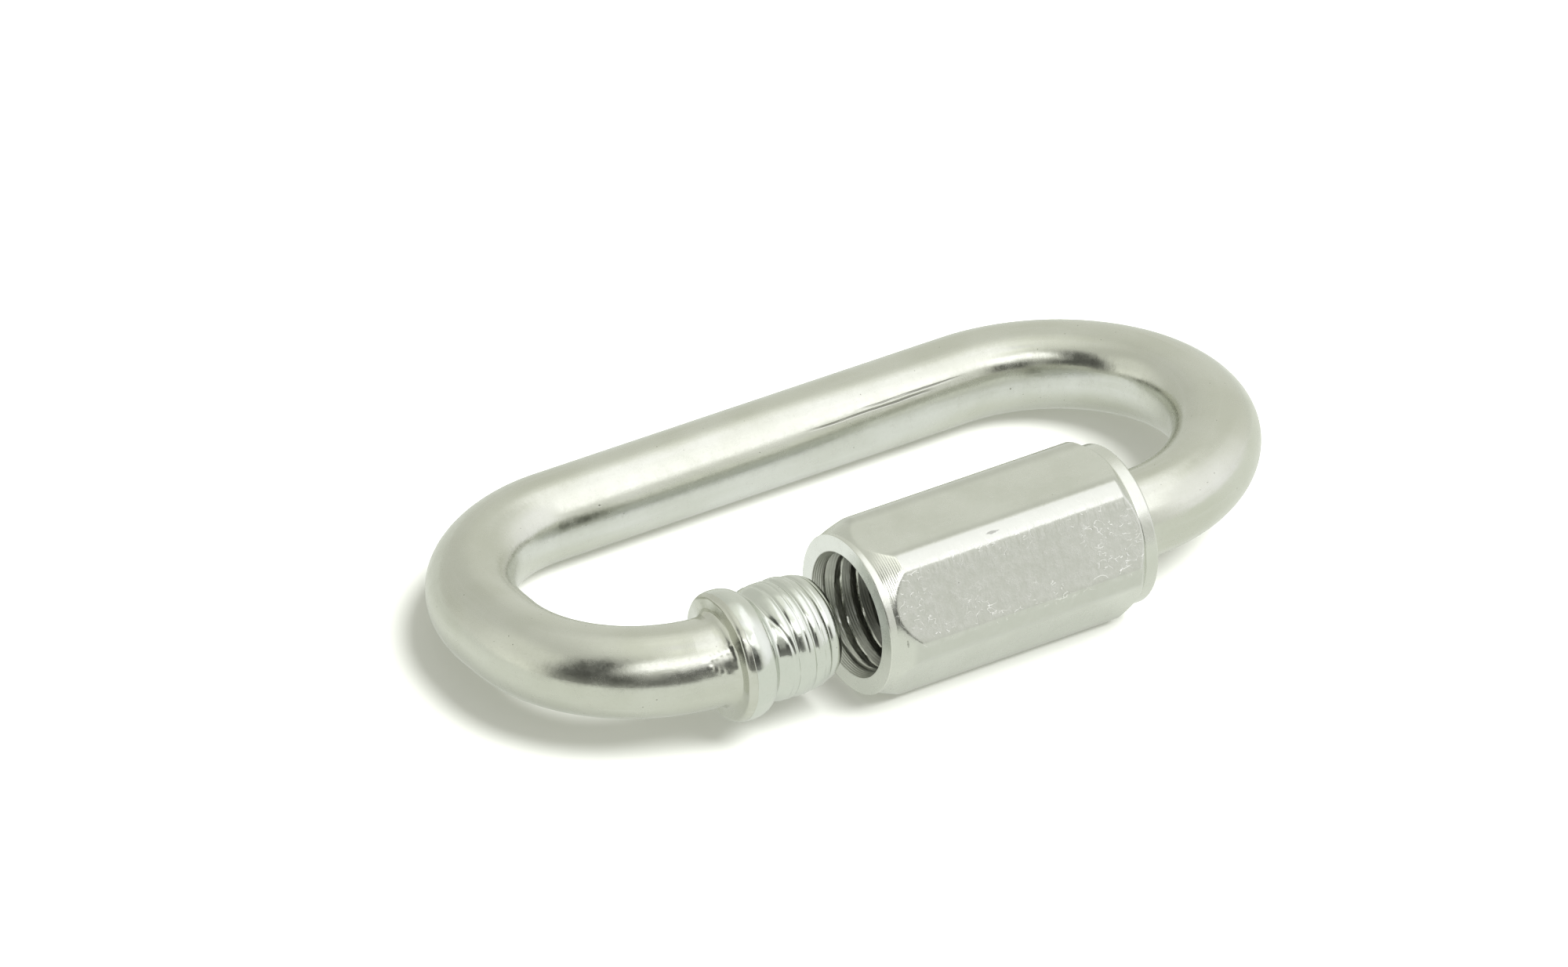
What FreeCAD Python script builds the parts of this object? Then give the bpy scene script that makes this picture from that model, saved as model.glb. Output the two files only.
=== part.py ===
import FreeCAD, Part
import math
import os

# Chain quick link: a bent round bar with a gap in its front arm, and a long hexagon sleeve nut that closes it.
# Millimetres. X runs along the link, Y from the front arm to the back arm, Z up from the table that it lies on.
V = FreeCAD.Vector
ALONG = V(1, 0, 0)

# Bar and loop; radii are to the bar's centre line
bar_diameter = 6.0
arm_spacing = 22.1
straight_run = 31.8
left_end_flat = 1.7
right_end_radius = 10.5
right_side_turn = 57.0

# Collar that the sleeve closes against
collar_diameter = 8.8
collar_length = 1.9
collar_overhang = 0.35
collar_edge_radius = 0.35
collar_front_angle = 60.0

# Threads on both arm ends, drawn as rings at the pitch
thread_diameter = 7.9
thread_pitch = 1.25
thread_depth = 0.4
groove_half_angle = 30.0
neck_diameter = 7.2
stub_turns = 4
stub_taper_turns = 1.5
stub_taper_depth = 0.3
arm_thread_turns = 11
end_chamfer = 0.4

# Gap between the arm ends, and the part of it that the sleeve leaves free as it lies here
gate_gap = 7.6
gate_shown = 2.4

# Sleeve nut
sleeve_length = 20.6
across_flats = 11.0
corner_radius = 2.0
rim_diameter = 10.9
rim_edge_radius = 0.15
near_rim_length = 0.15
far_rim_length = 0.8
corner_chamfer_length = 1.65
mouth_diameter = 8.6
running_clearance = 0.05
sleeve_groove_depth = 0.3
first_groove_depth = 1.2
mouth_grooves = 4

bar_radius = bar_diameter / 2
half_spacing = arm_spacing / 2
thread_radius = thread_diameter / 2
neck_radius = neck_diameter / 2
collar_radius = collar_diameter / 2
flat_height = across_flats / 2


def left_bend_radius():
    return (arm_spacing - left_end_flat) / 2


def right_side_radius():
    """Radius at each side of the right bow, so that its three arcs meet in line."""
    c = math.cos(math.radians(right_side_turn))
    return (half_spacing - right_end_radius * c) / (1 - c)


def right_bow_depth():
    """How far the right bow's centre line reaches past the straight arms."""
    shift = (right_side_radius() - right_end_radius) * math.sin(math.radians(right_side_turn))
    return shift + right_end_radius


def corner_reach():
    """From the sleeve's axis to the outside of its rounded corners."""
    return (flat_height - corner_radius) / math.cos(math.radians(30)) + corner_radius


# Places along X, with the middle of the whole length at 0
overall_length = left_bend_radius() + straight_run + right_bow_depth() + bar_diameter
left_bend_x = bar_radius + left_bend_radius() - overall_length / 2
right_bend_x = left_bend_x + straight_run
collar_back_x = left_bend_x - collar_overhang
collar_front_x = collar_back_x + collar_length
neck_x = collar_front_x + (collar_radius - neck_radius) / math.tan(math.radians(collar_front_angle))
stub_end_x = neck_x + stub_turns * thread_pitch
arm_end_x = stub_end_x + gate_gap
arm_thread_end_x = arm_end_x + arm_thread_turns * thread_pitch
mouth_x = stub_end_x + gate_shown

# It lies on the back arm and on one flat of the sleeve, so the loop's plane leans up to the front arm
lean = math.asin((flat_height - bar_radius) / arm_spacing)
back_y = half_spacing * math.cos(lean)
middle_y = (corner_reach() - bar_radius) / 2
front_arm_y = middle_y - back_y
front_arm_z = flat_height
loop_z = bar_radius + half_spacing * math.sin(lean)


def bar_run(start, end):
    """Straight round bar between two points of the centre line."""
    along = end - start
    return Part.makeCylinder(bar_radius, along.Length, start, along)


def bar_bend(centre, radius, from_angle, turn):
    """Bent round bar about a vertical line through the centre, from one angle through a turn, in degrees."""
    a = math.radians(from_angle)
    outward = V(math.cos(a), math.sin(a), 0)
    tangent = V(-math.sin(a), math.cos(a), 0)
    section = Part.Face(Part.Wire(Part.makeCircle(bar_radius, centre + outward * radius, tangent)))
    return section.revolve(centre, V(0, 0, 1), turn)


def left_bow():
    """Two quarter bends with a short flat between them."""
    r = left_bend_radius()
    x = left_bend_x
    y = left_end_flat / 2
    pieces = [bar_bend(V(x, y, 0), r, 90, 90), bar_bend(V(x, -y, 0), r, 180, 90)]
    pieces.append(bar_run(V(x - r, y, 0), V(x - r, -y, 0)))
    return pieces


def right_bow():
    """A side arc from each arm and an end arc, all tangent."""
    side = right_side_radius()
    turn = right_side_turn
    shift = (side - right_end_radius) * math.sin(math.radians(turn))
    offset = half_spacing - side
    pieces = [bar_bend(V(right_bend_x, -offset, 0), side, -90, turn)]
    pieces.append(bar_bend(V(right_bend_x + shift, 0, 0), right_end_radius, turn - 90, 180 - 2 * turn))
    pieces.append(bar_bend(V(right_bend_x, offset, 0), side, 90 - turn, turn))
    return pieces


def revolved(points, y, z):
    """Solid of revolution about a line along X through y, z; the points are (x, radius)."""
    outline = [V(x, 0, r) for x, r in points]
    face = Part.Face(Part.makePolygon(outline + outline[:1]))
    solid = face.revolve(V(0, 0, 0), ALONG, 360)
    solid.translate(V(0, y, z))
    return solid


def grooves(first_x, count, surface_radius, depth, direction):
    """Outline points of V grooves at the pitch, cut inwards (direction -1) or outwards (+1)."""
    half_width = depth * math.tan(math.radians(groove_half_angle))
    points = []
    for i in range(count):
        x = first_x + i * thread_pitch
        points.append((x - half_width, surface_radius))
        points.append((x, surface_radius + direction * depth))
        points.append((x + half_width, surface_radius))
    return points


def edge_arc(x, radius, size, from_angle, to_angle, steps=2):
    """Outline points round an edge; angles in degrees from the X axis towards larger radius."""
    points = []
    for i in range(steps + 1):
        a = math.radians(from_angle + (to_angle - from_angle) * i / steps)
        points.append((x + size * math.cos(a), radius + size * math.sin(a)))
    return points


def stub_end():
    """Collar, neck and the short thread that the sleeve closes on, narrowing over its last turns."""
    e = collar_edge_radius
    taper_x = stub_end_x - stub_taper_turns * thread_pitch
    slope = stub_taper_depth / (stub_end_x - taper_x)
    points = [(collar_back_x, 0), (collar_back_x, bar_radius)]
    points += edge_arc(collar_back_x + e, collar_radius - e, e, 180, 90)
    points += edge_arc(collar_front_x - e, collar_radius - e, e, 90, 90 - collar_front_angle)
    points.append((neck_x, neck_radius))
    thread = [(neck_x + (thread_radius - neck_radius) * math.tan(math.radians(30)), thread_radius)]
    thread += grooves(neck_x + thread_pitch, stub_turns - 1, thread_radius, thread_depth, -1)
    thread += [(stub_end_x - end_chamfer, thread_radius), (stub_end_x, thread_radius - end_chamfer)]
    points += [(x, r - slope * max(0, x - taper_x)) for x, r in thread]
    points.append((stub_end_x, 0))
    return revolved(points, -half_spacing, 0)


def arm_end():
    """The long thread that carries the sleeve, with a taper down to the bar."""
    taper = thread_radius - bar_radius
    points = [(arm_end_x, 0), (arm_end_x, thread_radius - end_chamfer)]
    points.append((arm_end_x + end_chamfer, thread_radius))
    points += grooves(arm_end_x + thread_pitch, arm_thread_turns - 1, thread_radius, thread_depth, -1)
    points += [(arm_thread_end_x, thread_radius), (arm_thread_end_x + taper, bar_radius)]
    points.append((arm_thread_end_x + taper, 0))
    return revolved(points, -half_spacing, 0)


def link_body():
    """One bent bar from the stub end round both bows to the threaded arm, laid on the table."""
    pieces = left_bow() + right_bow()
    pieces.append(bar_run(V(left_bend_x, half_spacing, 0), V(right_bend_x, half_spacing, 0)))
    pieces.append(bar_run(V(left_bend_x, -half_spacing, 0), V(collar_front_x, -half_spacing, 0)))
    pieces.append(bar_run(V(arm_thread_end_x, -half_spacing, 0), V(right_bend_x, -half_spacing, 0)))
    pieces += [stub_end(), arm_end()]
    body = pieces[0].multiFuse(pieces[1:]).removeSplitter()
    body.rotate(V(0, 0, 0), ALONG, -math.degrees(lean))
    body.translate(V(0, middle_y, loop_z))
    return body.Solids[0]


def hexagon_bar():
    """Six flats with rounded corners, two of the flats level."""
    sharp = flat_height / math.cos(math.radians(30))
    corners = [V(0, sharp * math.cos(math.radians(60 * i)), sharp * math.sin(math.radians(60 * i))) for i in range(6)]
    prism = Part.Face(Part.makePolygon(corners + corners[:1])).extrude(V(sleeve_length, 0, 0))
    edges = [e for e in prism.Edges if abs(e.tangentAt(e.FirstParameter).x) > 0.99]
    bar = prism.makeFillet(corner_radius, edges)
    bar.translate(V(mouth_x, front_arm_y, front_arm_z))
    return bar


def sleeve_envelope():
    """Turned outline: a rim at each end and the long chamfer that clips the corners."""
    rim = rim_diameter / 2
    e = rim_edge_radius
    over = corner_reach() + 0.1
    rise = (over - rim) / (corner_reach() - rim)
    far_x = mouth_x + sleeve_length
    near_rise = (corner_chamfer_length - near_rim_length) * rise
    far_rise = (corner_chamfer_length - far_rim_length) * rise
    points = [(mouth_x, 0)] + edge_arc(mouth_x + e, rim - e, e, 180, 90, 1)
    points += [(mouth_x + near_rim_length + e, rim), (mouth_x + near_rim_length + e + near_rise, over)]
    points += [(far_x - far_rim_length - e - far_rise, over), (far_x - far_rim_length - e, rim)]
    points += edge_arc(far_x - e, rim - e, e, 90, 0, 1)
    points.append((far_x, 0))
    return revolved(points, front_arm_y, front_arm_z)


def sleeve_bore():
    """Lead-in at both ends, and thread grooves at the pitch inside the mouth, clear of the arm's thread."""
    land = thread_radius + running_clearance
    mouth = mouth_diameter / 2
    lead = (mouth - land) / math.tan(math.radians(collar_front_angle))
    far_x = mouth_x + sleeve_length
    points = [(mouth_x, 0), (mouth_x, mouth), (mouth_x + lead, land)]
    points += grooves(mouth_x + first_groove_depth, mouth_grooves, land, sleeve_groove_depth, 1)
    points += [(far_x - lead, land), (far_x, mouth), (far_x, 0)]
    return revolved(points, front_arm_y, front_arm_z)


def sleeve_nut():
    return hexagon_bar().common(sleeve_envelope()).cut(sleeve_bore()).Solids[0]


os.makedirs("parts", exist_ok=True)
link_body().exportStep("parts/link_body.step")
sleeve_nut().exportStep("parts/sleeve_nut.step")
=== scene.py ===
import bmesh
import bpy
import math
import numpy as np
from mathutils import Matrix, Vector, noise


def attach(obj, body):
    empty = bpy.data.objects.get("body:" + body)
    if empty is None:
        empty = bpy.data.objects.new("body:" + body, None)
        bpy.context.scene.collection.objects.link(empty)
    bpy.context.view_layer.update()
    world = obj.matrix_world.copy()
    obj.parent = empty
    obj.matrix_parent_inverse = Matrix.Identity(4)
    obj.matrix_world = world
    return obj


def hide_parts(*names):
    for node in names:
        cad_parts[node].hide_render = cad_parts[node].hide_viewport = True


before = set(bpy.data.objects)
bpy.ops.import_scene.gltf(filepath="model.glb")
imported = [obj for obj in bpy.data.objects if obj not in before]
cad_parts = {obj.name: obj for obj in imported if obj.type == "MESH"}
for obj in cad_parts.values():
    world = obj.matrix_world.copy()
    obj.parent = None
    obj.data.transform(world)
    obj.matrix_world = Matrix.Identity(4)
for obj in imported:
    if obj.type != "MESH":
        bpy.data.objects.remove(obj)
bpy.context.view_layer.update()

# Lengths are in millimetres until a mesh is made.
# X runs along the link, Y from the front arm to the back arm, Z up.
# Angles about the front arm's axis are in degrees, from +Y towards +Z.
MM = 0.001

# Bar and loop, with the bends' radii to the bar's centre line
BAR = 3.0
HALF = 11.05
LEFT_X, RIGHT_X = -16.5565, 15.2435
LEFT_R, LEFT_FLAT = 10.2, 0.85
END_R, END_TURN = 10.5, math.radians(57.0)
SIDE_R = (HALF - END_R * math.cos(END_TURN)) / (1 - math.cos(END_TURN))
SHIFT = (SIDE_R - END_R) * math.sin(END_TURN)
LEFT_ARC = LEFT_R * math.pi / 2
SIDE_ARC, END_ARC = SIDE_R * END_TURN, END_R * 2 * (math.pi / 2 - END_TURN)
LEFT_BOW, RUN, RIGHT_BOW = 2 * LEFT_ARC + 2 * LEFT_FLAT, RIGHT_X - LEFT_X, 2 * SIDE_ARC + END_ARC
# Bending leaves the section squarer inside the right bow and flatter outside the left one
SQUARER, FLATTER = 0.7, 0.1

# Where the loop lies: its middle, the front arm's axis, and the lean of its plane
MID_Y, LOOP_Z = 1.52075, 4.25
AXIS_Z = 5.5
LEAN = math.asin((AXIS_Z - BAR) / (2 * HALF))
AXIS_Y = MID_Y - HALF * math.cos(LEAN)

# Threads, the stub and the tip of the long arm
PITCH = 1.25
CREST = 3.93
THREAD_START = -13.58
COLLAR_BACK, STUB_END = -16.9065, -9.544
ARM_END = -1.944
ARM_THREAD_END = ARM_END + 11 * PITCH
ARM_TAPER_END = ARM_THREAD_END + CREST - BAR
ARM_PLAIN = ARM_TAPER_END + 1.2
ARM_CHAMFER = 0.45
END_FACE_RADII = (2.2, 1.0)

# Sleeve nut, measured along X from its mouth; each chamfer has a foot radius and a length
MOUTH, SLEEVE_LENGTH = -7.144, 20.6
FLAT, CORNER_R, REACH = 5.5, 1.5, 6.04
RIM = 5.45
NEAR_RIM, NEAR_FOOT, NEAR_CHAMFER = 0.14, 5.41, 1.55
FAR_RIM, FAR_FOOT, FAR_CHAMFER = 0.95, 5.43, 0.75
LAND, BORE_MOUTH, BORE_LEAD = 4.0, 4.3, 0.9
BORE_THREAD_START, BORE_DEPTH, BORE_GROOVE = 1.0, 0.42, 0.54
FACE_RADII = (5.1, 4.7, BORE_MOUTH + 0.06)


def smooth(value, low, high):
    """0 up to low, 1 from high, with a smooth step between."""
    t = np.clip((value - low) / (high - low), 0.0, 1.0)
    return t * t * (3 - 2 * t)


def soft_min(a, b, k):
    """The lower of two values, rounded where they meet."""
    h = np.clip(0.5 + 0.5 * (b - a) / k, 0.0, 1.0)
    return b + (a - b) * h - k * h * (1 - h)


def shell(name, rows, sharp, caps=()):
    """A mesh from rows of points, each row a closed ring, with edges over an angle in degrees left sharp.

    caps says which ends get a fan: 0 for the first row, 1 for the last.
    """
    count = len(rows[0])
    points = np.concatenate(rows) * MM
    faces = []
    for i in range(len(rows) - 1):
        a, b = i * count, (i + 1) * count
        for j in range(count):
            k = (j + 1) % count
            faces.append((a + j, a + k, b + k, b + j))
    centres = []
    for end in caps:
        base = end * (len(rows) - 1) * count
        centre = len(points) + len(centres)
        centres.append(points[base:base + count].mean(axis=0))
        for j in range(count):
            faces.append((centre, base + j, base + (j + 1) % count))
    if centres:
        points = np.concatenate([points, centres])
    mesh = bpy.data.meshes.new(name)
    mesh.from_pydata(points.tolist(), [], faces)
    mesh.validate()
    work = bmesh.new()
    work.from_mesh(mesh)
    bmesh.ops.remove_doubles(work, verts=work.verts, dist=1e-7)
    bmesh.ops.recalc_face_normals(work, faces=work.faces)
    work.to_mesh(mesh)
    work.free()
    mesh.shade_smooth()
    mesh.set_sharp_from_angle(angle=math.radians(sharp))
    obj = bpy.data.objects.new(name, mesh)
    bpy.context.scene.collection.objects.link(obj)
    return obj


# Link body: one tube round the loop, from the stub's tip to the arm's tip
COLUMNS = 120
phi = np.linspace(0, 2 * math.pi, COLUMNS, endpoint=False)
PLANE_X = np.array([1.0, 0.0, 0.0])
PLANE_Y = np.array([0.0, math.cos(LEAN), -math.sin(LEAN)])
PLANE_N = np.array([0.0, math.sin(LEAN), math.cos(LEAN)])
CENTRE = np.array([0.0, MID_Y, LOOP_Z])
# Angle of each column about the front arm's axis
theta = np.degrees((math.pi - phi - LEAN) % (2 * math.pi))


def on_arc(x, y, radius, angle):
    """Centre line point and outward direction, in the loop's plane, on an arc about x, y."""
    c, s = math.cos(angle), math.sin(angle)
    return (x + radius * c, y + radius * s), (c, s)


def left_frame(s):
    """Centre line point and outward direction, a length s past the front arm's left end."""
    if s <= LEFT_ARC:
        return on_arc(LEFT_X, -LEFT_FLAT, LEFT_R, -math.pi / 2 - s / LEFT_R)
    s -= LEFT_ARC
    if s <= 2 * LEFT_FLAT:
        return (LEFT_X - LEFT_R, -LEFT_FLAT + s), (-1.0, 0.0)
    return on_arc(LEFT_X, LEFT_FLAT, LEFT_R, math.pi - (s - 2 * LEFT_FLAT) / LEFT_R)


def right_frame(s):
    """The same, a length s past the back arm's right end."""
    side_y = HALF - SIDE_R
    if s <= SIDE_ARC:
        return on_arc(RIGHT_X, side_y, SIDE_R, math.pi / 2 - s / SIDE_R)
    s -= SIDE_ARC
    if s <= END_ARC:
        return on_arc(RIGHT_X + SHIFT, 0.0, END_R, math.pi / 2 - END_TURN - s / END_R)
    return on_arc(RIGHT_X, -side_y, SIDE_R, -(math.pi / 2 - END_TURN) - (s - END_ARC) / SIDE_R)


def front_frame(x):
    """The same at x on the front arm, unrolled round the left bow past its end."""
    return left_frame(LEFT_X - x) if x < LEFT_X else ((x, -HALF), (0.0, -1.0))


def ring(point, outward, radius):
    """One ring of the bar about a centre line point, with a radius for every column."""
    centre = CENTRE + point[0] * PLANE_X + point[1] * PLANE_Y
    out = outward[0] * PLANE_X + outward[1] * PLANE_Y
    return centre + radius[:, None] * (np.cos(phi)[:, None] * out + np.sin(phi)[:, None] * PLANE_N)


def helix_groove(x, first, width, depth):
    """Depth of a right-hand groove at x, for every column; first is its place at angle 0."""
    phase = (x - first - PITCH * theta / 360.0) / PITCH
    phase = phase - np.round(phase)
    return depth * np.exp(-(phase * PITCH / width) ** 2)


def uneven(x, r, size, seed):
    """Smooth unevenness of a turned surface, between about -1 and 1, for every column."""
    t = np.radians(theta)
    places = [(x / size + seed, r * math.cos(a) / size, r * math.sin(a) / size) for a in t]
    return np.array([noise.noise(Vector(place)) for place in places])


def fine(profile, step):
    """Points a step apart along a profile, rounded between its own points."""
    p = np.array(profile)
    length = np.concatenate([[0], np.cumsum(np.hypot(*np.diff(p, axis=0).T))])
    s = np.linspace(0, length[-1], max(2, int(length[-1] / step)))
    x, r = np.interp(s, length, p[:, 0]), np.interp(s, length, p[:, 1])
    for _ in range(2):
        r[1:-1] = 0.25 * r[:-2] + 0.5 * r[1:-1] + 0.25 * r[2:]
        x[1:-1] = 0.25 * x[:-2] + 0.5 * x[1:-1] + 0.25 * x[2:]
    return list(zip(x, r))


# Place along X and radius: bar, fillet, collar, neck, thread and end face
STUB_PROFILE = [
    (-19.0, BAR), (-17.7, BAR), (-17.42, 3.03), (-17.2, 3.11), (-17.06, 3.24), (-16.98, 3.42),
    (-16.94, 3.65), (-16.915, 3.9), (COLLAR_BACK, 4.08), (-16.87, 4.17), (-16.75, 4.27), (-16.5, 4.36),
    (-16.25, 4.405), (-16.0, 4.42), (-15.75, 4.4), (-15.5, 4.36), (-15.2, 4.26), (-15.0, 4.16),
    (-14.86, 4.02), (-14.72, 3.85), (-14.6, 3.7), (-14.48, 3.6), (-14.36, 3.57), (-14.24, 3.6),
    (-14.08, 3.68), (-13.85, 3.78), (-13.6, 3.86), (-13.2, 3.91), (-12.6, CREST), (-12.0, CREST),
    (-11.5, 3.91), (-11.0, 3.84), (-10.5, 3.74), (-10.1, 3.62), (-9.85, 3.5), (-9.68, 3.36),
    (-9.58, 3.2), (STUB_END, BAR),
] + [(STUB_END, r) for r in END_FACE_RADII]

# Lines of the stub's thread: first place, width and depth, then how uneven each is, at what size and seed
STUB_LINES = [
    (THREAD_START, 0.12, 0.09, 0.6, 1.1, 40.0),
    (-12.9, 0.08, 0.035, 0.9, 0.9, 70.0),
    (THREAD_START, 0.42, 0.05, 0.0, 1.0, 0.0),
]

# Beads of plating behind the collar: place along X, angle, half width and height
BEADS = [
    (-16.85, 130, 0.16, 0.09), (-17.15, 132, 0.10, 0.07), (-17.4, 133.5, 0.11, 0.05),
    (-17.75, 135, 0.09, 0.05), (-18.05, 136.5, 0.10, 0.04), (-18.3, 138, 0.08, 0.04),
    (-18.4, 150, 0.10, 0.05), (-18.1, 154, 0.09, 0.05), (-17.8, 158, 0.10, 0.05),
    (-17.5, 163, 0.09, 0.05), (-17.15, 158, 0.10, 0.04), (-17.2, 146, 0.09, 0.04),
    (-16.4, 136, 0.22, 0.05), (-16.0, 128, 0.20, 0.03), (-12.9, 96, 0.30, 0.03), (-13.5, 84, 0.35, 0.03),
]
BEAD_CIRCLE = 3.3
TIP_SLANT, TIP_SIDE = 0.12, 120.0


def beads(x):
    rise = np.zeros(COLUMNS)
    for place, angle, size, height in BEADS:
        if abs(x - place) < 3 * size:
            across = np.radians(theta - angle) * BEAD_CIRCLE
            rise += height * np.exp(-((x - place) ** 2 + across ** 2) / size ** 2)
    return rise


def start_groove(x):
    """Run-out of the thread: it leaves the neck near the top and joins the first turn near the front."""
    line = -14.35 + 1.0 * smooth(theta, 95.0, 165.0)
    fade = smooth(theta, 60.0, 110.0) * (1 - smooth(theta, 235.0, 290.0))
    return 0.06 * fade * np.exp(-((x - line) / 0.1) ** 2)


def stub_ring(x, r):
    """One ring of the stub, with its thread, beads and uneven surface, and the slant of its sheared end."""
    threaded = smooth(x, -13.7, -13.1) * (1 - smooth(x, -9.9, -9.6))
    radius = np.full(COLUMNS, r)
    for first, width, depth, rough, size, seed in STUB_LINES:
        groove = threaded * helix_groove(x, first, width, depth)
        radius = radius - groove * (1 + rough * uneven(x, r, size, seed))
    radius = radius - start_groove(x) + beads(x)
    on_end_face = r <= BAR - 0.1
    if not on_end_face:
        worked = smooth(x, -17.3, -16.9)
        radius = radius + worked * (0.022 * uneven(x, r, 1.6, 0.0) + 0.01 * uneven(x, r, 0.6, 9.0))
    place = x + smooth(x, -11.0, -9.6) * TIP_SLANT * np.cos(np.radians(theta - TIP_SIDE))
    on_collar_edge = -17.0 < x < -16.5
    if on_collar_edge:
        place = place + 0.04 * uneven(0.0, r, 1.2, 23.0)
    points = ring(*front_frame(x), radius)
    points[:, 0] += place - x
    return points


def arm_rows():
    """The long thread and its tip, from the plain arm to the end face."""
    profile = [(ARM_PLAIN, BAR), (ARM_TAPER_END, BAR), (ARM_THREAD_END, CREST)]
    profile += [(ARM_END + ARM_CHAMFER, CREST), (ARM_END, CREST - ARM_CHAMFER)]
    profile += [(ARM_END, r) for r in END_FACE_RADII]
    rows = []
    for x, r in fine(profile, 0.09):
        begun = smooth(x, ARM_END + 0.3, ARM_END + 0.9)
        threaded = begun * (1 - smooth(x, ARM_THREAD_END - 0.4, ARM_THREAD_END))
        radius = np.full(COLUMNS, r) - threaded * helix_groove(x, THREAD_START, 0.17, 0.3)
        rows.append(ring(*front_frame(x), radius))
    return rows


def bar_section(squarer=0.0, flatter=0.0):
    """Radius for every column: squarer on the upper inside of a bend, flatter on its upper outside."""
    upper = np.sin(phi) > 0
    power = np.where((np.cos(phi) < 0) & upper, 2.0 + squarer, 2.0)
    power = np.where((np.cos(phi) > 0) & upper, 2.0 - flatter, power)
    return BAR * (np.abs(np.cos(phi)) ** power + np.abs(np.sin(phi)) ** power) ** (-1 / power)


def link_rows():
    rows = [stub_ring(x, r) for x, r in reversed(fine(STUB_PROFILE, 0.05))]
    start = LEFT_X - STUB_PROFILE[0][0]
    for s in np.linspace(start, LEFT_BOW, 70)[1:]:
        bend = smooth(s, 0.4, 3.0) * (1 - smooth(s, LEFT_BOW - 6, LEFT_BOW))
        rows.append(ring(*left_frame(s), bar_section(flatter=FLATTER * bend)))
    for x in np.linspace(LEFT_X, RIGHT_X, 50)[1:]:
        rows.append(ring((x, HALF), (0.0, 1.0), bar_section(SQUARER * smooth(x, -2.0, RIGHT_X))))
    for s in np.linspace(0, RIGHT_BOW, 90)[1:]:
        bend = 1 - smooth(s, 0.6 * RIGHT_BOW, RIGHT_BOW)
        rows.append(ring(*right_frame(s), bar_section(SQUARER * bend)))
    for x in np.linspace(RIGHT_X, ARM_PLAIN, 5)[1:-1]:
        rows.append(ring(*front_frame(x), bar_section()))
    return rows + arm_rows()


# Sleeve nut: one closed outline carried round its axis
sleeve_angle = np.linspace(0, 360, 252, endpoint=False)


def hexagon(angle):
    """Radius of the rounded hexagon at an angle."""
    thirty = math.radians(30)
    off = np.radians((angle % 60.0) - 30.0)
    to_corner = thirty - np.abs(off)
    inner = FLAT - CORNER_R
    centre = inner / math.cos(thirty)
    rise = np.sqrt(np.maximum(CORNER_R ** 2 - (centre * np.sin(to_corner)) ** 2, 0.0))
    flat_end = math.atan(inner * math.tan(thirty) / FLAT)
    return np.where(np.abs(off) < flat_end, FLAT / np.cos(off), centre * np.cos(to_corner) + rise)


def chamfer(u, foot):
    """The end chamfer, a little rounded, from its foot at 0 to the corners at 1, and past them."""
    return foot + (REACH - foot) * (1 - (1 - np.clip(u, 0, 1)) ** 1.12) + 0.4 * np.clip(u - 1, 0, None)


def rim(x, edge, length):
    """Rim radius a distance x from its end face, with its edge rounded off over a length."""
    return np.full(len(sleeve_angle), RIM - edge * (1 - min(x / length, 1)) ** 2)


def envelope(x):
    """Turned outline at x, for every column: rims and chamfers, the mouth's chamfer starting unevenly."""
    start = 0.2 + 0.22 * (1 + np.cos(np.radians(sleeve_angle - 190.0)))
    if x > NEAR_RIM:
        near = chamfer((x - start) / NEAR_CHAMFER, NEAR_FOOT)
    else:
        near = rim(x, 0.03, 0.05)
    from_end = SLEEVE_LENGTH - x
    if from_end > FAR_RIM:
        far = chamfer((from_end - FAR_RIM) / FAR_CHAMFER, FAR_FOOT)
    else:
        far = rim(from_end, 0.1, 0.15)
    return np.minimum(np.minimum(near, far), REACH)


def bore_radius(x):
    """Threaded bore at x, for every column."""
    end = min(x, SLEEVE_LENGTH - x)
    base = LAND + max(0.0, (BORE_MOUTH - LAND) * (1 - end / BORE_LEAD))
    phase = (x - BORE_THREAD_START - PITCH * sleeve_angle / 360.0) / PITCH
    phase = phase - np.round(phase)
    depth = BORE_DEPTH * smooth(end, 0.7, 1.1)
    return base + depth * np.clip(1 - np.abs(phase * PITCH) / BORE_GROOVE, 0, 1)


def sleeve_ring(x, radius):
    a = np.radians(sleeve_angle)
    r = np.broadcast_to(radius, a.shape)
    return np.stack([np.full(a.shape, MOUTH + x), AXIS_Y + r * np.cos(a), AXIS_Z + r * np.sin(a)], axis=1)


def sleeve_rows():
    """Rows from the mouth along the outside, over the far face, back through the bore, over the mouth."""
    near = [np.arange(0, 0.6, 0.03), np.arange(0.6, 2.1, 0.06), np.arange(2.1, 18.4, 0.65)]
    far = [np.arange(2.2, 1.2, -0.06), np.arange(1.2, 0, -0.03), [0.0]]
    rows = []
    for x in np.concatenate(near + [SLEEVE_LENGTH - np.array(part) for part in far]):
        rows.append(sleeve_ring(x, soft_min(hexagon(sleeve_angle), envelope(x), 0.06)))
    rows += [sleeve_ring(SLEEVE_LENGTH, r) for r in FACE_RADII]
    for x in np.concatenate([np.arange(SLEEVE_LENGTH, 6.2, -0.2), np.arange(6.2, 0, -0.07)]):
        rows.append(sleeve_ring(x, bore_radius(x)))
    rows += [sleeve_ring(0.0, r) for r in (BORE_MOUTH, *reversed(FACE_RADII))]
    return rows + rows[:1]


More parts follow.
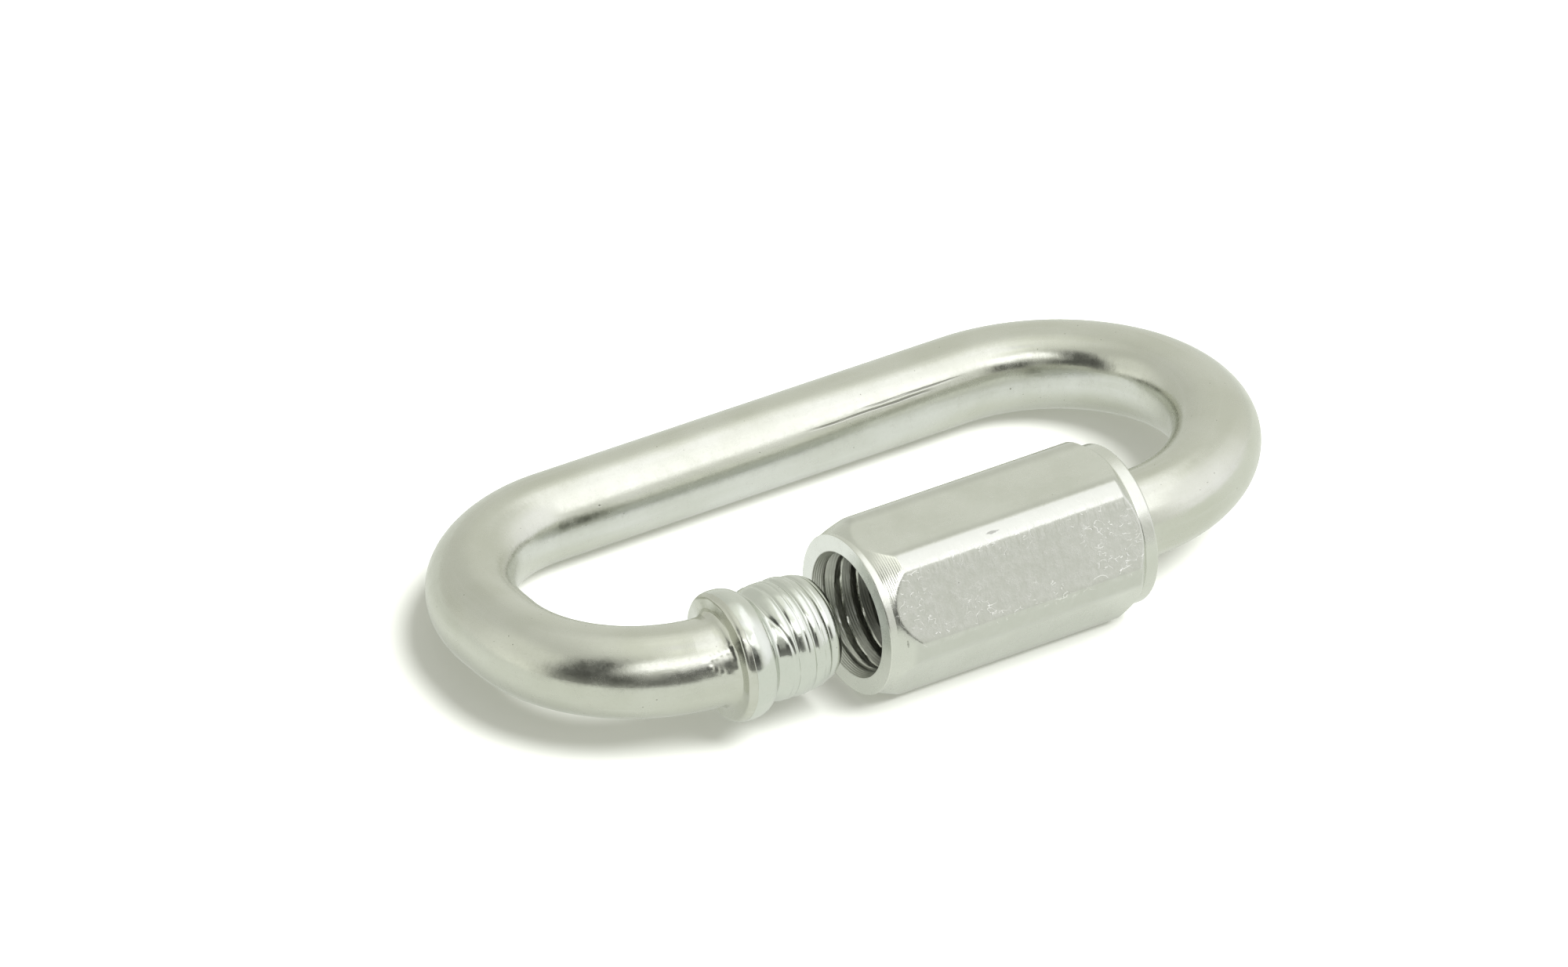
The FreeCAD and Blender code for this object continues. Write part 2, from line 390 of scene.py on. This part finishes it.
def nearest_on_loop(x, y):
    """Length along the centre line, and the distance outward from it, for points in the loop's plane."""
    along_run = np.linspace(0.01, RUN - 0.01, 120)
    samples = [(s, *left_frame(s)) for s in np.linspace(0, LEFT_BOW, 160)]
    samples += [(LEFT_BOW + t, (LEFT_X + t, HALF), (0.0, 1.0)) for t in along_run]
    samples += [(LEFT_BOW + RUN + s, *right_frame(s)) for s in np.linspace(0, RIGHT_BOW, 160)]
    samples += [(LEFT_BOW + RUN + RIGHT_BOW + t, (RIGHT_X - t, -HALF), (0.0, -1.0)) for t in along_run]
    length, line, out = (np.array(column) for column in zip(*samples))
    near = ((x[:, None] - line[None, :, 0]) ** 2 + (y[:, None] - line[None, :, 1]) ** 2).argmin(axis=1)
    dx, dy = x - line[near, 0], y - line[near, 1]
    along = dx * -out[near, 1] + dy * out[near, 0]
    return length[near] - along, dx * out[near, 0] + dy * out[near, 1]


def straightened(obj):
    """Stores each point's place on the bar before it was bent: along it, and across it two ways."""
    mesh = obj.data
    co = np.empty(len(mesh.vertices) * 3)
    mesh.vertices.foreach_get("co", co)
    rel = co.reshape(-1, 3) / MM - CENTRE
    along, outward = nearest_on_loop(rel @ PLANE_X, rel @ PLANE_Y)
    place = np.stack([along, outward, rel @ PLANE_N], axis=1) * MM
    layer = mesh.attributes.new("bar_place", "FLOAT_VECTOR", "POINT")
    layer.data.foreach_set("vector", place.ravel())


link = shell("link_bar", link_rows(), 40.0, caps=(0, 1))
straightened(link)
sleeve = shell("sleeve_hexagon", sleeve_rows(), 32.0)


# Materials, floor and studio are webs of nodes
class Web:
    """Short names for the nodes of a material or the world.

    A value is a number, a tuple or another node's socket.
    """

    def __init__(self, tree):
        self.tree = tree
        tree.nodes.clear()

    def node(self, kind, **values):
        n = self.tree.nodes.new(kind)
        for key, value in values.items():
            setattr(n, key, value)
        return n

    def put(self, value, socket):
        if hasattr(value, "is_output"):
            self.tree.links.new(value, socket)
        elif isinstance(value, tuple) and len(value) == 3 and socket.type == "RGBA":
            socket.default_value = (*value, 1.0)
        else:
            socket.default_value = value

    def fill(self, n, **values):
        """Sets inputs of a node by their names, with _ for a space."""
        for key, value in values.items():
            self.put(value, n.inputs[key.replace("_", " ")])
        return n

    def maths(self, op, a, b=0.0):
        n = self.node("ShaderNodeMath", operation=op)
        self.put(a, n.inputs[0])
        self.put(b, n.inputs[1])
        return n.outputs[0]

    def chain(self, op, terms):
        total = terms[0]
        for term in terms[1:]:
            total = self.maths(op, total, term)
        return total

    def add(self, *terms):
        return self.chain("ADD", terms)

    def times(self, *terms):
        return self.chain("MULTIPLY", terms)

    def inverse(self, value):
        return self.maths("SUBTRACT", 1.0, value)

    def vector(self, op, a, b):
        n = self.node("ShaderNodeVectorMath", operation=op)
        self.put(a, n.inputs[0])
        self.put(b, n.inputs["Scale" if op == "SCALE" else 1])
        return n.outputs["Vector"]

    def dot(self, a, b):
        n = self.node("ShaderNodeVectorMath", operation="DOT_PRODUCT")
        self.put(a, n.inputs[0])
        self.put(b, n.inputs[1])
        return n.outputs["Value"]

    def length(self, a):
        n = self.node("ShaderNodeVectorMath", operation="LENGTH")
        self.put(a, n.inputs[0])
        return n.outputs["Value"]

    def split(self, value):
        n = self.node("ShaderNodeSeparateXYZ")
        self.put(value, n.inputs[0])
        return n.outputs

    def step(self, value, low, high, to_low=0.0, to_high=1.0):
        n = self.node("ShaderNodeMapRange", interpolation_type="SMOOTHSTEP")
        self.fill(n, Value=value, From_Min=low, From_Max=high, To_Min=to_low, To_Max=to_high)
        return n.outputs["Result"]

    def fade(self, value, low, high):
        return self.step(value, low, high, 1.0, 0.0)

    def band(self, value, a, b, c, d):
        """1 between b and c, fading to 0 at a and d."""
        return self.times(self.step(value, a, b), self.fade(value, c, d))

    def noise(self, where, scale, detail=2.0, rough=0.5):
        n = self.node("ShaderNodeTexNoise")
        return self.fill(n, Vector=where, Scale=scale, Detail=detail, Roughness=rough).outputs["Fac"]

    def specks(self, where, scale, radius, share):
        """Round specks in some of the cells of a Voronoi pattern, 1 inside a speck."""
        n = self.fill(self.node("ShaderNodeTexVoronoi"), Vector=where, Scale=scale)
        inside = self.fade(n.outputs["Distance"], radius * scale * 0.6, radius * scale * 1.3)
        pick = self.node("ShaderNodeSeparateColor")
        self.put(n.outputs["Color"], pick.inputs[0])
        return self.times(inside, self.step(pick.outputs[0], 1 - share - 0.01, 1 - share))

    def hairs(self, where, scale, width, breaks):
        """Thin curved scratches, broken up by a second pattern."""
        line = self.maths("ABSOLUTE", self.maths("SUBTRACT", self.noise(where, scale, 1.5), 0.5))
        line = self.fade(line, width * 0.4, width)
        shifted = self.vector("ADD", where, (31.0, 7.0, 13.0))
        return self.times(line, self.step(self.noise(shifted, scale * 1.3, 1.0), breaks, breaks + 0.06))

    def mix(self, factor, a, b):
        n = self.node("ShaderNodeMix", data_type="RGBA")
        for key, value in (("Factor", factor), ("A", a), ("B", b)):
            self.put(value, n.inputs[key])
        return n.outputs["Result"]

    def choose(self, factor, a, b):
        """One surface or another, by a factor."""
        n = self.node("ShaderNodeMixShader")
        for i, value in enumerate((factor, a, b)):
            self.put(value, n.inputs[i])
        return n.outputs[0]

    def show(self, surface, kind="ShaderNodeOutputMaterial"):
        self.put(surface, self.node(kind).inputs["Surface"])

    def metal(self, color, roughness, height):
        """Shows metal with this colour, roughness and height, the height in millimetres."""
        bump = self.fill(self.node("ShaderNodeBump"), Strength=1.0, Distance=MM, Height=height)
        shader = self.fill(self.node("ShaderNodeBsdfPrincipled"), Metallic=1.0, Base_Color=color)
        self.fill(shader, Roughness=roughness, Normal=bump.outputs["Normal"])
        self.show(shader.outputs["BSDF"])


def new_material(name):
    mat = bpy.data.materials.new(name)
    mat.use_nodes = True
    return mat, Web(mat.node_tree)


# Thin draw marks on the back arm: angle in the bar's section in radians, first and last place along the bar
DRAW_MARKS = ((2.60, 52.0, 62.5), (2.52, 56.0, 65.0))
# Place along the bar, in the gap before the stub, past which the bar is brighter and cooler
STUB_LOOK = (117.5, 119.0)


def bar_material():
    """Bright zinc plate on drawn bar: faint streaks along it, a fine grain, small pits, a brighter stub."""
    mat, w = new_material("bar_zinc")
    attribute = w.node("ShaderNodeAttribute", attribute_name="bar_place").outputs["Vector"]
    place = w.vector("SCALE", attribute, 1 / MM)
    along, outward, up = w.split(place)
    cloud = w.noise(place, 0.22, 4.0)
    streak = w.noise(w.vector("MULTIPLY", place, (0.12, 1.6, 1.6)), 1.0, 3.0)
    grain = w.noise(place, 5.5, 5.0, 0.7)
    dents = w.noise(place, 1.3, 3.0)
    pits = w.specks(place, 0.55, 0.07, 0.3)
    dots = w.specks(w.vector("ADD", place, (5.0, 5.0, 5.0)), 1.4, 0.045, 0.3)
    stub = w.step(along, *STUB_LOOK)

    angle = w.add(w.maths("ARCTAN2", up, outward), w.step(cloud, 0.0, 1.0, -0.03, 0.03))
    broken = w.step(streak, 0.4, 0.5, 0.35, 1.0)
    marks = 0.0
    for turn, first, last in DRAW_MARKS:
        line = w.fade(w.maths("ABSOLUTE", w.maths("SUBTRACT", angle, turn)), 0.012, 0.032)
        marks = w.add(w.times(line, w.band(along, first, first + 2.0, last - 1.5, last), broken), marks)

    color = w.mix(w.step(cloud, 0.3, 0.7), (0.59, 0.6, 0.53), (0.64, 0.65, 0.59))
    color = w.mix(w.times(stub, 0.8), color, (0.655, 0.685, 0.64))
    color = w.mix(w.times(w.step(streak, 0.45, 0.75), 0.35), color, (0.68, 0.685, 0.64))
    color = w.mix(w.times(w.step(grain, 0.5, 0.8), 0.25), color, (0.5, 0.505, 0.44))
    color = w.mix(w.times(w.add(pits, dots), 0.6), color, (0.2, 0.2, 0.17))
    color = w.mix(w.times(marks, 0.75), color, (0.2, 0.2, 0.18))
    gloss = w.add(
        w.step(dents, 0.3, 0.7, 0.17, 0.25),
        w.step(grain, 0.3, 0.7, -0.02, 0.05),
        w.times(stub, -0.07),
    )
    heights = ((grain, 0.0025), (dents, 0.009), (streak, 0.006), (pits, -0.012), (marks, -0.012))
    w.metal(color, gloss, w.add(*(w.times(*pair) for pair in heights)))
    return mat


# Directions about the sleeve's axis: its front flat, the corner above it, and the chamfer between the two
TO_FRONT = (0.0, -0.8660254, 0.5)
TO_CORNER = (0.0, -0.5, 0.866)
TO_CHAMFER = (0.0, -0.616, 0.788)
# Two larger nicks in the sleeve: place, with Y and Z from the axis, and size
NICKS = (((1.9, -3.02, 5.23), (0.5, 0.1, 0.1)), ((-6.0, -5.75, 0.9), (0.1, 0.3, 0.45)))
TURNING_PITCH = 0.14


def sleeve_material():
    """Bright zinc plate on hexagon bar: mottled and scratched in front, turning marks where it is cut,
    painted light and shade in places.
    """
    mat, w = new_material("sleeve_zinc")
    where = w.vector("SCALE", w.node("ShaderNodeTexCoord").outputs["Object"], 1 / MM)
    from_axis = w.vector("SUBTRACT", where, (0.0, AXIS_Y, AXIS_Z))
    across = w.length(w.vector("MULTIPLY", from_axis, (0.0, 1.0, 1.0)))
    ahead = w.dot(where, (1.0, 0.0, 0.0))
    front = w.step(w.dot(from_axis, TO_FRONT), 5.3, 5.48)
    corner = w.step(across, 5.75, 5.95)
    inside = w.fade(across, 4.32, 4.36)
    outside = w.fade(inside, 0.2, 0.8)
    face = w.times(w.fade(ahead, MOUTH + 0.02, MOUTH + 0.08), outside)
    slope = w.dot(w.node("ShaderNodeNewGeometry").outputs["Normal"], (-1.0, 0.0, 0.0))
    # turned picks the chamfer under the top corner: it gets turning marks and a painted highlight
    turned = w.times(w.step(slope, 0.12, 0.26), w.step(w.dot(from_axis, TO_CHAMFER), 5.0, 5.6))

    cloud = w.noise(where, 0.3, 4.0)
    mottle = w.noise(where, 1.5, 4.0, 0.65)
    grain = w.noise(where, 6.0, 5.0, 0.7)
    worn = w.times(front, w.step(cloud, 0.42, 0.6))
    hairs = w.times(w.hairs(where, 0.7, 0.010, 0.52), w.add(w.times(worn, 0.9), 0.08))
    flecks = w.hairs(w.vector("MULTIPLY", where, (1.0, 1.6, 1.6)), 1.5, 0.026, 0.54)
    flecks = w.times(flecks, w.add(w.times(worn, 0.95), 0.03))
    dots = w.specks(where, 0.8, 0.05, 0.3)
    for (x, y, z), size in NICKS:
        off = w.vector("SUBTRACT", where, (x, AXIS_Y + y, AXIS_Z + z))
        nick = w.length(w.vector("MULTIPLY", off, tuple(1 / v for v in size)))
        nick = w.add(nick, w.step(mottle, 0.2, 0.8, -0.5, 0.5))
        dots = w.maths("MAXIMUM", dots, w.fade(nick, 0.7, 1.1))

    color = w.mix(w.step(cloud, 0.3, 0.7), (0.635, 0.65, 0.59), (0.685, 0.70, 0.645))
    # Painted shade: the front flat and the rounded corners are painted darker, which also tones down the
    # corner's highlight
    color = w.mix(w.times(w.maths("MAXIMUM", front, corner), 0.75), color, (0.56, 0.57, 0.525))
    mottled = w.times(w.step(mottle, 0.35, 0.7), w.add(w.times(front, 0.3), 0.15))
    color = w.mix(mottled, color, (0.72, 0.725, 0.69))
    color = w.mix(w.times(w.step(grain, 0.5, 0.8), 0.25), color, (0.54, 0.55, 0.5))
    color = w.mix(w.times(w.add(hairs, flecks), 0.7), color, (0.93, 0.93, 0.91))
    color = w.mix(w.times(dots, 0.6), color, (0.2, 0.2, 0.18))
    # The bore's colour darkens the further in from the mouth, nearly black deep inside
    deep = w.step(ahead, MOUTH + 0.5, MOUTH + 3.6, 0.0, 0.8)
    color = w.mix(w.times(inside, deep), color, (0.12, 0.12, 0.11))
    # Painted light: the mouth's end face is painted paler, brightening the dim reflection it shows
    color = w.mix(w.times(face, 0.35), color, (0.86, 0.875, 0.81))
    # Painted highlight: the chamfer under the top corner is painted nearly white
    color = w.mix(w.times(turned, outside, 0.9), color, (0.95, 0.96, 0.9))
    gloss = w.add(w.step(mottle, 0.3, 0.7, 0.2, 0.29), w.times(inside, 0.14), w.times(corner, -0.09))

    rings = w.maths("SINE", w.times(ahead, 2 * math.pi / TURNING_PITCH))
    calm = w.step(face, 0.2, 0.8, 1.0, 0.3)
    ticks = w.noise(w.vector("MULTIPLY", where, (3.2, 0.9, 0.9)), 1.0, 2.0)
    edge = w.times(w.step(w.dot(from_axis, TO_CORNER), 5.4, 5.8), outside)
    height = w.add(w.times(grain, calm, 0.003), w.times(mottle, calm, 0.012), w.times(hairs, -0.006))
    height = w.add(height, w.times(flecks, 0.005))
    height = w.add(height, w.times(rings, w.add(w.times(inside, 0.003), w.times(turned, 0.0025))))
    height = w.add(height, w.times(ticks, edge, 0.013))
    w.metal(color, gloss, height)
    return mat


link.data.materials.append(bar_material())
sleeve.data.materials.append(sleeve_material())
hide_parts("link_body")
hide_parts("sleeve_nut")
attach(link, "link")
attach(sleeve, "sleeve")


def floor():
    """A white floor that takes the shadow.

    What the metal reflects of it is mostly an even paleness, with painted shade a little dimmer behind the
    object and painted light paler inside the loop.
    """
    mesh = bpy.data.meshes.new("floor")
    size = 3.0
    corners = [(-size, -size, 0), (size, -size, 0), (size, size, 0), (-size, size, 0)]
    mesh.from_pydata(corners, [], [(0, 1, 2, 3)])
    obj = bpy.data.objects.new("floor", mesh)
    bpy.context.scene.collection.objects.link(obj)
    mat, w = new_material("floor_white")
    lit = w.fill(w.node("ShaderNodeBsdfPrincipled"), Base_Color=(0.7, 0.715, 0.68), Roughness=1.0)
    w.fill(lit, Specular_IOR_Level=0.0, Emission_Color=(1.0, 1.0, 0.87), Emission_Strength=0.19)

    # In metres here: past 8 mm behind the middle it dims as painted shade, and an oval 48 by 20 mm is the
    # loop's inside, painted paler and cooler
    spot = w.node("ShaderNodeNewGeometry").outputs["Position"]
    dim = w.step(w.split(spot)[1], 0.008, 0.03, 0.72, 0.58)
    oval = w.vector("SUBTRACT", w.vector("MULTIPLY", spot, (1 / 0.024, 1 / 0.010, 0.0)), (0.0, 0.15, 0.0))
    within = w.fade(w.length(oval), 0.75, 1.05)
    tint = w.mix(within, (1.0, 1.035, 0.95), (1.0, 1.035, 1.04))
    even = w.fill(w.node("ShaderNodeEmission"), Color=tint, Strength=w.add(w.times(within, 0.15), dim))
    glossy = w.times(w.node("ShaderNodeLightPath").outputs["Is Glossy Ray"], 0.8)
    w.show(w.choose(glossy, lit.outputs[0], even.outputs[0]))
    obj.data.materials.append(mat)


def lamp(turn, rise, strength, width):
    """A broad lamp far away, for the floor and its shadows; angles in degrees, turn from -Y towards +X."""
    data = bpy.data.lights.new("lamp", "SUN")
    data.energy = strength
    data.angle = math.radians(width)
    obj = bpy.data.objects.new("lamp", data)
    az, el = math.radians(turn), math.radians(rise)
    toward = Vector((math.sin(az) * math.cos(el), -math.cos(az) * math.cos(el), math.sin(el)))
    obj.rotation_euler = toward.to_track_quat("Z", "Y").to_euler()
    obj.visible_glossy = False
    bpy.context.scene.collection.objects.link(obj)


def studio():
    """Soft light by direction: a pale dome, a broad light above in front, a dark opening low on the left."""
    world = bpy.data.worlds.new("studio")
    bpy.context.scene.world = world
    world.use_nodes = True
    w = Web(world.node_tree)
    x, y, z = w.split(w.node("ShaderNodeTexCoord").outputs["Generated"])
    turn = w.maths("DEGREES", w.maths("ARCTAN2", x, w.times(y, -1.0)))
    rise = w.maths("DEGREES", w.maths("ARCSINE", w.maths("MINIMUM", w.maths("MAXIMUM", z, -1.0), 1.0)))

    def zone(turns, rises):
        return w.times(w.band(turn, *turns), w.band(rise, *rises))

    # Pale walls: dimmest behind, brighter on the right and low left; the ceiling is brighter to the right
    level = w.add(
        0.71,
        w.times(0.25, w.step(x, -0.45, 0.3), w.step(rise, 42.0, 66.0)),
        w.times(0.16, w.step(rise, 64.0, 80.0)),
        w.times(0.3, zone((-20.0, 20.0, 60.0, 100.0), (58.0, 64.0, 76.0, 84.0))),
        w.times(0.12, w.band(turn, 70.0, 100.0, 140.0, 178.0), w.fade(rise, 70.0, 86.0)),
        w.times(0.2, w.band(turn, -155.0, -122.0, -95.0, -80.0), w.fade(rise, 38.0, 56.0)),
        w.times(0.22, w.band(turn, -130.0, -108.0, -90.0, -74.0), w.fade(rise, 0.0, 24.0)),
    )
    right_wall = w.times(w.band(turn, 12.0, 50.0, 62.0, 124.0), w.fade(rise, 58.0, 80.0))
    level = w.add(level, w.times(0.6, right_wall, w.step(rise, 0.0, 26.0, 0.74, 1.0)))

    # Broad soft light overhead in front: it reaches lowest in the middle and rises to the right
    bent = w.add(rise, w.times(6.0, w.band(turn, -12.0, 6.0, 32.0, 46.0)))
    bent = w.maths("SUBTRACT", bent, w.times(12.0, w.band(turn, 36.0, 64.0, 105.0, 138.0)))
    top = w.add(bent, w.times(7.0, w.fade(turn, -45.0, -12.0)))
    key = w.times(w.band(turn, -50.0, -33.0, 112.0, 150.0), w.step(bent, 36.0, 44.0), w.fade(top, 59.0, 68.0))
    strong = w.step(turn, -10.0, 100.0, 1.95, 1.5)
    level = w.add(w.times(level, w.inverse(key)), w.times(strong, key))

    # Dark opening low in front on the left, with a paler gap in it
    dark = w.maths("MAXIMUM", zone((-89.0, -77.0, 10.0, 20.0), (-6.0, -2.0, 26.0, 37.0)),
                   zone((-92.0, -78.0, -58.0, -42.0), (-6.0, -2.0, 50.0, 72.0)))
    dark = w.times(dark, w.step(rise, 4.0, 22.0, 0.8, 1.0))
    gap = zone((-38.0, -31.0, -23.0, -16.0), (12.0, 24.0, 50.0, 60.0))
    dark = w.times(dark, w.inverse(w.times(0.62, gap)))
    level = w.times(level, w.inverse(w.times(0.87, dark)))

    # Matt surfaces get a little over half of it, so the floor keeps its shadow, and the camera sees white
    path = w.node("ShaderNodeLightPath").outputs
    level = w.times(level, w.inverse(w.times(path["Is Diffuse Ray"], 0.45)))
    lamplit = w.maths("MAXIMUM", key, w.band(turn, 12.0, 52.0, 74.0, 122.0))
    tint = w.mix(lamplit, (1.0, 1.015, 0.93), (1.0, 1.0, 1.01))
    dome = w.fill(w.node("ShaderNodeBackground"), Color=tint, Strength=level)
    white = w.fill(w.node("ShaderNodeBackground"), Color=(1.0, 1.0, 1.0))
    w.show(w.choose(path["Is Camera Ray"], dome.outputs[0], white.outputs[0]), "ShaderNodeOutputWorld")


def camera():
    """The camera at the photograph's place, which was fitted to the loop's outlines."""
    data = bpy.data.cameras.new("camera")
    obj = bpy.data.objects.new("camera", data)
    bpy.context.scene.collection.objects.link(obj)
    az, el, roll = (math.radians(v) for v in (-32.7988, 35.3638, 1.6957))
    target, distance = Vector((-1.971, 6.528, 4.25)) * MM, 824.16
    back = Vector((math.sin(az) * math.cos(el), -math.cos(az) * math.cos(el), math.sin(el)))
    right = (-back).cross(Vector((0, 0, 1))).normalized()
    up = right.cross(-back)
    right, up = right * math.cos(roll) + up * math.sin(roll), up * math.cos(roll) - right * math.sin(roll)
    place = Matrix((right, up, back)).transposed().to_4x4()
    place.translation = target + back * distance * MM
    obj.matrix_world = place
    data.sensor_width = 36.0
    data.lens = 287.24
    data.clip_start, data.clip_end = 0.05, 20.0
    bpy.context.scene.camera = obj


floor()
lamp(52.0, 58.0, 6.4, 44.0)
studio()
camera()
bpy.context.scene.view_settings.view_transform = "Standard"
